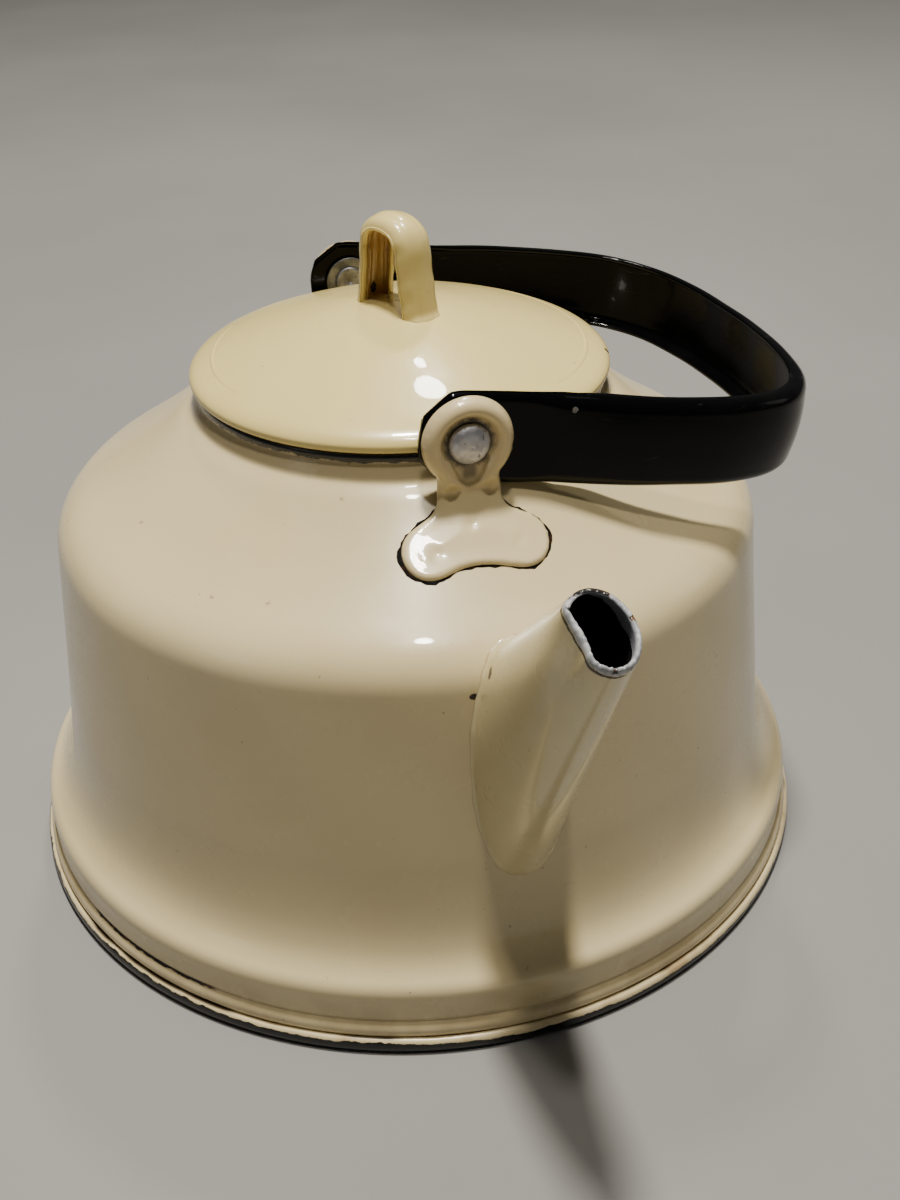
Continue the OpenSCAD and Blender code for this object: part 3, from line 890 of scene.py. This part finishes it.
def ear_painted_shade(s, colour, rough):
    """Painted shade: near-black in the recess round the rivet and below it, made rougher too, and a warmer,
    duller tone on the upright eyelet.
    """
    y, z = s.split.outputs["Y"], s.minus(s.split.outputs["Z"], PIVOT_Z * MM)
    away = s.math("POWER", s.plus(s.times(y, y), s.times(z, z)), 0.5)
    rag = s.noise(420, 4.0, 0.65, seed=(9, 4, 1))
    # Painted shade: a near-black ring in the recess round the rivet and a strip in the recess below it
    ring = s.ramp_mm(s.ragged(away, rag, -3.0), 3.8, 5.6, 0.92, 0.0)
    below = s.times(s.ramp_mm(s.math("ABSOLUTE", y), 0.9, 2.6, 1.0, 0.0),
                    s.times(s.ramp_mm(z, -10.5, -8.0), s.ramp_mm(z, -5.0, -4.0, 1.0, 0.0)))
    darkening = s.math("MAXIMUM", ring, s.times(below, 0.7))
    # Painted shade: a warmer, duller tone on the upright eyelet, which gets less of the overhead light
    upright = s.ramp_mm(z, -20, -8, 0.0, 0.35)
    colour = s.mix(upright, colour, (0.60, 0.46, 0.24, 1))
    colour = s.mix(darkening, colour, (0.028, 0.020, 0.013, 1))
    return colour, s.times_plus(darkening, 0.4, rough), []


def black_enamel(name, chips=(), dust=0.25, shine=0.16):
    """Glossy black enamel with dusty scuffs and a few chips."""
    s = Shader(name, IOR=1.5, Specular_IOR_Level=shine)
    cloud = s.noise(30, 4.0, 0.6)
    scuff = s.ramp(s.noise(90, 3.0, 0.6, 1.0, (1, 1, 6), (1, 2, 3)), 0.66, 0.74)
    colour = s.mix(s.ramp(cloud, 0.45, 0.8), (0.0015, 0.0015, 0.0017, 1), (0.004, 0.004, 0.004, 1))
    colour = s.mix(s.times(scuff, dust), colour, (0.05, 0.048, 0.043, 1))
    rough = s.ramp(cloud, 0.3, 0.75, 0.07, 0.15)
    rough = s.times_plus(scuff, 0.22, rough)
    height = s.times_plus(s.noise(110, 2.0), 0.8, s.times(s.noise(800, 2.0), 0.08))
    normal = s.bump(height, 0.00025, 0.5)
    if chips:
        chip = s.any_of([s.blob(*c) for c in chips])
        colour = s.mix(chip, colour, (0.16, 0.15, 0.14, 1))
        rough = s.times_plus(chip, 0.35, rough)
        normal = s.bump(s.minus(1.0, chip), 0.0003, 0.8, normal)
    return s.finish(colour, rough, normal)


def mouth_inside(name):
    """Dark inside of the spout with pale flaking patches near the mouth."""
    s = Shader(name, IOR=1.5)
    x, z = s.split.outputs["X"], s.split.outputs["Z"]
    depth = s.plus(s.times(s.minus(x, MOUTH[0] * MM), math.sin(MOUTH_TILT)),
                   s.times(s.minus(z, MOUTH[2] * MM), math.cos(MOUTH_TILT)))
    rag = s.noise(210, 4.0, 0.65, seed=(2, 5, 5))
    side = s.times(s.split.outputs["Y"], 0.55)
    pale = s.ramp_mm(s.plus(s.ragged(depth, rag, 5.0), side), 1.0, 1.8)
    colour = s.mix(pale, (0.006, 0.006, 0.007, 1), (0.36, 0.37, 0.40, 1))
    rough = s.ramp(rag, 0.3, 0.7, 0.35, 0.6)
    return s.finish(colour, rough, s.bump(s.minus(rag, pale), 0.0003, 0.6))


def inner_enamel(name):
    """Dark inner coat with a chalky bloom of lime scale."""
    s = Shader(name, IOR=1.5)
    bloom = s.noise(45, 5.0, 0.65)
    colour = s.mix(s.ramp(bloom, 0.48, 0.75), (0.008, 0.008, 0.009, 1), (0.045, 0.042, 0.038, 1))
    rough = s.ramp(bloom, 0.35, 0.7, 0.25, 0.6)
    return s.finish(colour, rough, s.bump(s.noise(220, 3.0), 0.0003, 0.5))


def bare_black(name):
    """Matt black ground coat, bare where the cream has chipped off."""
    s = Shader(name, IOR=1.5, Specular_IOR_Level=0.08)
    burnt = s.noise(420, 3.0, seed=(4, 4, 4))
    colour = s.mix(s.ramp(burnt, 0.52, 0.70), (0.004, 0.0035, 0.003, 1), (0.045, 0.022, 0.012, 1))
    rough = s.ramp(burnt, 0.35, 0.7, 0.65, 0.9)
    return s.finish(colour, rough, s.bump(s.noise(500, 3.0), 0.0003, 0.7))


def dull_metal(name, light, dark):
    """Oxidised aluminium, cloudy, rough and pitted."""
    s = Shader(name, Metallic=1.0)
    cloud = s.noise(260, 4.0, 0.6)
    pit = s.ramp(s.noise(900, 2.0, seed=(4, 2, 2)), 0.63, 0.70)
    colour = s.mix(s.ramp(cloud, 0.35, 0.7), light, dark)
    colour = s.mix(s.times(pit, 0.7), colour, (0.10, 0.095, 0.09, 1))
    rough = s.ramp(cloud, 0.3, 0.7, 0.50, 0.68)
    height = s.minus(s.times(s.noise(500, 3.0), 0.5), s.times(pit, 0.6))
    return s.finish(colour, rough, s.bump(height, 0.00018, 0.7))


def pan_coat(name, cream):
    """Black bottom pan whose rolled edge is cream above a ragged, chipped line."""
    s = Shader(name, IOR=1.5)
    cloud = s.noise(50, 5.0, 0.65)
    z = s.split.outputs["Z"]
    rag = s.ragged(z, s.noise(230, 5.0, 0.7, seed=(3, 8, 2)), 1.8)
    rag = s.ragged(rag, s.noise(35, 3.0, seed=(1, 8, 8)), 1.6)
    rag = s.times_plus(s.split.outputs["Y"], 0.005, rag)
    painted = s.ramp_mm(rag, PAN_PAINT_Z, PAN_PAINT_Z + 0.2)
    chip = s.ramp(s.noise(140, 3.0, 0.6, 0.4, (1, 1, 2.4), (7, 1, 1)), 0.69, 0.72)
    colour = s.mix(s.ramp(cloud, 0.45, 0.75), (0.004, 0.004, 0.004, 1), (0.012, 0.011, 0.010, 1))
    stain = s.mix(s.ramp(s.noise(300, 3.0), 0.45, 0.6), (0.05, 0.045, 0.04, 1), RUST)
    colour = s.mix(s.times(chip, 0.7), colour, stain)
    hem_top = s.ramp_mm(z, HEM_TOP - 0.3, HEM_TOP)
    patch = s.plus(s.noise(16, 3.0, seed=(5, 6, 6)), knocked_side(s))
    seam = s.times(hem_top, s.ramp(patch, 0.54, 0.60))
    light = s.mix(s.ramp(s.noise(80, 4.0), 0.55, 0.75), cream, (0.50, 0.36, 0.18, 1))
    light = s.mix(seam, light, (0.05, 0.03, 0.015, 1))
    colour = s.mix(painted, colour, light)
    rough = s.times_plus(chip, 0.35, s.ramp(cloud, 0.3, 0.7, 0.18, 0.34))
    height = s.times_plus(s.noise(300, 3.0), 0.3, painted)
    return s.finish(colour, rough, s.bump(height, 0.00020, 0.7))


def floor_material():
    """Plain pale floor with a faint unevenness."""
    s = Shader("pale_floor", Specular_IOR_Level=0.3)
    tone = s.mix(s.ramp(s.noise(3, 3.0), 0.3, 0.7), (0.235, 0.230, 0.218, 1), (0.265, 0.260, 0.247, 1))
    return s.finish(tone, 0.55, s.bump(s.noise(60, 3.0), 0.0005, 0.15))


# ---------------- the kettle
# Light, dark and warm tones of each enamel
CREAM = ((0.74, 0.618, 0.350, 1), (0.70, 0.578, 0.315, 1), (0.68, 0.53, 0.26, 1))
# The spout's cream is darker than the body's: painted shade of the spout's underside
SHADED_SPOUT_CREAM = ((0.67, 0.570, 0.310, 1), (0.63, 0.530, 0.275, 1), (0.60, 0.48, 0.23, 1))
LID_CREAM = ((0.76, 0.62, 0.240, 1), (0.72, 0.58, 0.210, 1), (0.68, 0.52, 0.17, 1))
KNOB_BROWN = ((0.42, 0.24, 0.07, 1), (0.30, 0.16, 0.05, 1), (0.20, 0.10, 0.04, 1))
SEAM_STAIN = ((0.60, 0.46, 0.24, 1), (0.46, 0.33, 0.15, 1), (0.26, 0.16, 0.07, 1))


def shoulder_point(radius, y):
    """Point of the front shoulder at a distance from the axis and a sideways offset."""
    dome = OUTLINE[OUTLINE[:, 1] > 50][::-1]
    return (math.sqrt(radius ** 2 - y ** 2), y, float(np.interp(radius, dome[:, 0], dome[:, 1])))


EVEN = (1, 1, 1)
# Each chip is its centre in millimetres, its radius, its stretch, its raggedness and a seed
BODY_CHIPS = [
    (shoulder_point(96.9, -10.4), 1.1, EVEN, 0.8, 2.3),
    ((98.6, -52.6, 21.0), 0.9, (1, 0.35, 1), 0.8, 1.3),
    ((107.9, -32.8, 18.8), 0.6, (1, 0.3, 1), 0.8, 0.6)]
SPOUT_CHIPS = [
    ((100.5, -7.6, 104.0), 1.7, (1, 1, 1.3), 0.8, 4.0),
    ((99.6, -12.6, 84.0), 0.5, EVEN, 0.6, 4.3),
    ((100.4, -12.9, 66.0), 0.45, (1, 1, 0.6), 0.6, 4.6),
    ((101.2, -12.0, 52.0), 0.5, (1, 1, 0.6), 0.6, 4.9)]
LID_CHIPS = [
    ((17.0, 52.8, 140.6), 1.0, EVEN, 0.6, 0.4),
    ((-9.0, -47.5, 145.3), 0.8, EVEN, 0.6, 1.4),
    ((-31.0, -30.0, 147.4), 0.7, EVEN, 0.6, 2.4)]
KNOB_CHIPS = [
    ((14.2, 0.6, 152.4), 0.8, EVEN, 0.6, 3.4),
    ((13.2, 0.4, 161.0), 0.7, (1, 1, 0.5), 0.6, 4.4),
    ((13.6, 0.4, 156.6), 0.6, (1, 1, 0.6), 0.6, 5.9),
    ((-9.9, -8.8, 155.6), 0.7, EVEN, 0.6, 5.4)]
KNOB_INNER_CHIPS = [((-9.6, -4.4, 156.5), 1.2, (1, 1, 0.7), 0.6, 6.4)]
HANDLE_CHIPS = [
    ((62.6, 26.0, 146.5), 0.8, EVEN, 0.6, 0.6),
    ((-61.2, -8.2, 150.0), 0.9, EVEN, 0.6, 1.6)]

body_cream = enamel("cream_enamel_body", *CREAM, chips=BODY_CHIPS, extra=body_marks)
shaded_spout_cream = enamel("cream_enamel_spout_painted_shade", *SHADED_SPOUT_CREAM, chips=SPOUT_CHIPS, extra=spout_marks)
ear_cream = enamel("cream_enamel_ear", *CREAM, extra=ear_painted_shade)
lid_cream = enamel("cream_enamel_lid", *LID_CREAM, chips=LID_CHIPS)
knob_cream = enamel("cream_enamel_knob", *LID_CREAM, chips=KNOB_CHIPS)
knob_brown = enamel("stained_enamel_knob", *KNOB_BROWN, chips=KNOB_INNER_CHIPS)
handle_black = black_enamel("black_enamel_handle", chips=HANDLE_CHIPS)
handle_inside = black_enamel("black_enamel_handle_inside", dust=0.4, shine=0.06)
inside_black = inner_enamel("dark_inner_enamel")
chipped_black = bare_black("chipped_ground_coat")
seam_stain = enamel("stained_weld_seam", *SEAM_STAIN)
rivet_metal = dull_metal("rivet_aluminium", (0.60, 0.60, 0.64, 1), (0.42, 0.42, 0.46, 1))
# The rear rivet is the same aluminium as the front one, painted darker as shade
shaded_rear_rivet_metal = dull_metal("rear_rivet_aluminium_painted_shade", (0.26, 0.26, 0.28, 1), (0.14, 0.14, 0.15, 1))
washer_metal = dull_metal("washer_grey", (0.16, 0.16, 0.165, 1), (0.09, 0.09, 0.095, 1))

make_body(body_cream, inside_black)
make_pan(pan_coat("black_enamel_pan", CREAM[0]))
make_spout(shaded_spout_cream, mouth_inside("spout_inner_enamel"), seam_stain)
for label, sign, metal in (("front", 1, rivet_metal), ("rear", -1, shaded_rear_rivet_metal)):
    make_ear(label + "_handle_ear", label + "_ear", sign, ear_cream, chipped_black)
    make_rivet(label + "_pivot_rivet", label + "_rivet", sign, metal)
    make_washer(label + "_pivot_washer", label + "_washer", sign, washer_metal)
make_lid(lid_cream)
make_skirt(lid_cream)
make_knob(knob_cream, knob_brown)
make_handle(handle_black, handle_inside)

# ---------------- stage, light and camera
FLOOR_HALF = 6  # metres
corners = [(x * FLOOR_HALF, y * FLOOR_HALF, 0) for x, y in ((-1, -1), (1, -1), (1, 1), (-1, 1))]
floor_mesh = bpy.data.meshes.new("floor")
floor_mesh.from_pydata(corners, [], [[0, 1, 2, 3]])
floor_mesh.materials.append(floor_material())
floor = bpy.data.objects.new("floor", floor_mesh)
bpy.context.collection.objects.link(floor)


def area_light(name, place, aim_z, size, power, colour):
    """A disk of light at a place in metres, aimed at a height on the kettle's axis."""
    data = bpy.data.lights.new(name, "AREA")
    data.shape = "DISK"
    data.size = size
    data.energy = power
    data.color = colour
    obj = bpy.data.objects.new(name, data)
    obj.location = place
    obj.rotation_euler = (Vector((0, 0, aim_z)) - Vector(place)).to_track_quat("-Z", "Y").to_euler()
    bpy.context.collection.objects.link(obj)


LOW_AIM, HIGH_AIM = 0.08, 0.14
LAMP_WHITE = (1.0, 0.96, 0.90)
area_light("key", (-0.08, 0.02, 1.90), LOW_AIM, 0.20, 50, (1.0, 0.95, 0.87))
area_light("front_key", (0.43, -0.05, 1.90), LOW_AIM, 0.12, 9.5, (1.0, 0.94, 0.85))
area_light("rear_lamp", (-1.08, 0.44, 1.90), HIGH_AIM, 0.20, 12, LAMP_WHITE)
area_light("rear_small_lamp", (-1.33, 0.47, 1.90), HIGH_AIM, 0.08, 2, LAMP_WHITE)
area_light("soft_top", (-0.1, 0.1, 1.6), LOW_AIM, 1.3, 2.0, LAMP_WHITE)
area_light("left_fill", (0.6, -1.6, 0.8), LOW_AIM, 0.5, 0.4, (1.0, 0.98, 0.95))
area_light("right_fill", (0.2, 1.7, 0.7), LOW_AIM, 0.6, 0.5, (1.0, 0.97, 0.93))

world = bpy.data.worlds.new("studio")
world.use_nodes = True
background = world.node_tree.nodes["Background"].inputs
background["Color"].default_value = (0.80, 0.80, 0.79, 1)
background["Strength"].default_value = 0.065
bpy.context.scene.world = world

# The camera stands in front and to the -Y side of the spout, looking down on the kettle
VIEW_TURN = math.radians(15.86)
VIEW_PITCH = math.radians(31.8)
VIEW_ROLL = math.radians(-1.7)
CAMERA_BACK, CAMERA_UP, CAMERA_SIDE = 353.4, 281.6, 11.5
side_way = Vector((math.sin(VIEW_TURN), math.cos(VIEW_TURN), 0))
back_way = Vector((math.cos(VIEW_TURN), -math.sin(VIEW_TURN), 0))
forward = -back_way * math.cos(VIEW_PITCH) - Vector((0, 0, math.sin(VIEW_PITCH)))
camera_data = bpy.data.cameras.new("camera")
camera_data.sensor_width = 36.0
camera_data.lens = 42.0
camera = bpy.data.objects.new("camera", camera_data)
camera.location = (side_way * CAMERA_SIDE + back_way * CAMERA_BACK + Vector((0, 0, CAMERA_UP))) * MM
turn = forward.to_track_quat("-Z", "Y").to_matrix().to_4x4() @ Matrix.Rotation(VIEW_ROLL, 4, "Z")
camera.rotation_euler = turn.to_euler()
bpy.context.collection.objects.link(camera)
bpy.context.scene.camera = camera
